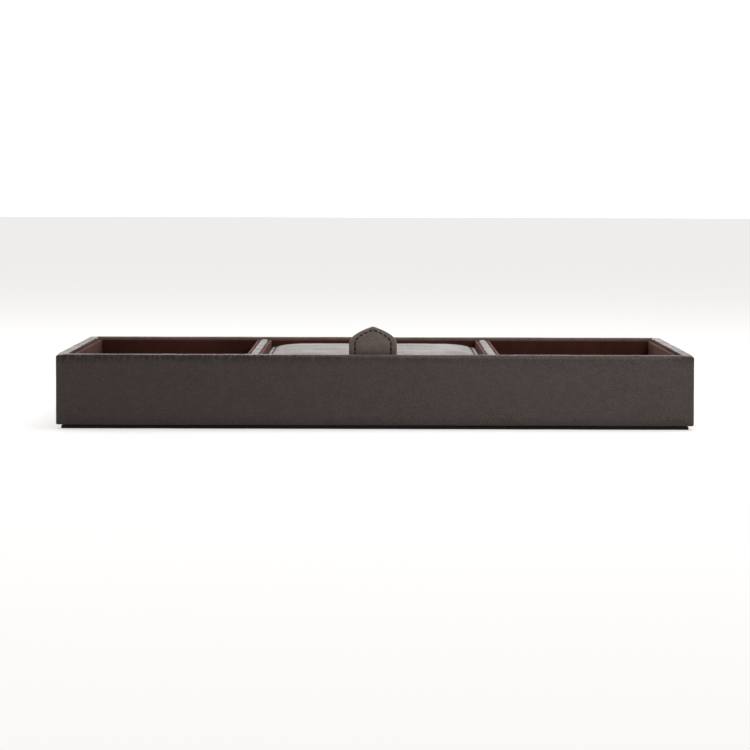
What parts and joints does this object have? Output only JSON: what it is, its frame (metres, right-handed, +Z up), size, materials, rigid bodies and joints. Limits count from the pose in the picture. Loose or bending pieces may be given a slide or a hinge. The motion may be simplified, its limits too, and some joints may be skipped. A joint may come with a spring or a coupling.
{
  "type": "dresser accessory tray",
  "caption": "Long, low leather-covered dresser tray with two open lined compartments and a padded, back-hinged lid with a pointed pull tab over the middle one.",
  "frame": {"origin": "middle of the underside of the base pad, on the surface that the tray stands on", "axes": "+X to the right along the length, +Y from the front wall to the back wall, +Z up"},
  "size_m": [0.35, 0.235, 0.0562],
  "materials": {
    "leather": "satin",
    "suede": "matte",
    "board": "matte",
    "foam": "matte",
    "felt": "matte"
  },
  "bodies": {
    "tray": {"back_wall_board": "board", "base_board": "board", "base_infill_card": "board", "base_pad": "felt", "front_wall_board": "board", "hinge_leaf_wall": "suede", "left_divider_board": "board", "left_divider_leather": "leather", "left_floor_lining": "suede", "left_lid_rest": "suede", "left_lining_back": "suede", "left_lining_front": "suede", "left_lining_left": "suede", "left_lining_right": "suede", "left_wall_board": "board", "middle_floor_lining": "suede", "middle_lining_back": "suede", "middle_lining_front": "suede", "middle_lining_left": "suede", "middle_lining_right": "suede", "outer_leather_wrap": "leather", "right_divider_board": "board", "right_divider_leather": "leather", "right_floor_lining": "suede", "right_lid_rest": "suede", "right_lining_back": "suede", "right_lining_front": "suede", "right_lining_left": "suede", "right_lining_right": "suede", "right_wall_board": "board"},
    "lid": {"lid_board": "board", "lid_foam": "foam", "lid_leather_cover": "leather", "lid_lining": "suede", "hinge_leaf_lid": "suede", "tab_tail": "leather"},
    "tab": {"tab_front_leather": "leather", "tab_stiffener": "board", "tab_back_leather": "leather"}
  },
  "joints": [
    {"name": "lid_hinge", "type": "hinge", "parent": "tray", "child": "lid", "pos_m": [-0.001, 0.1084, 0.0352], "axis": [-1, 0, 0], "range_deg": [0, 90]},
    {"name": "tab_fold", "type": "hinge", "parent": "lid", "child": "tab", "pos_m": [-0.0012, -0.10795, 0.0358], "axis": [-1, 0, 0], "range_deg": [-4, 60], "stiffness_Nm_per_rad": 0.02}
  ]
}
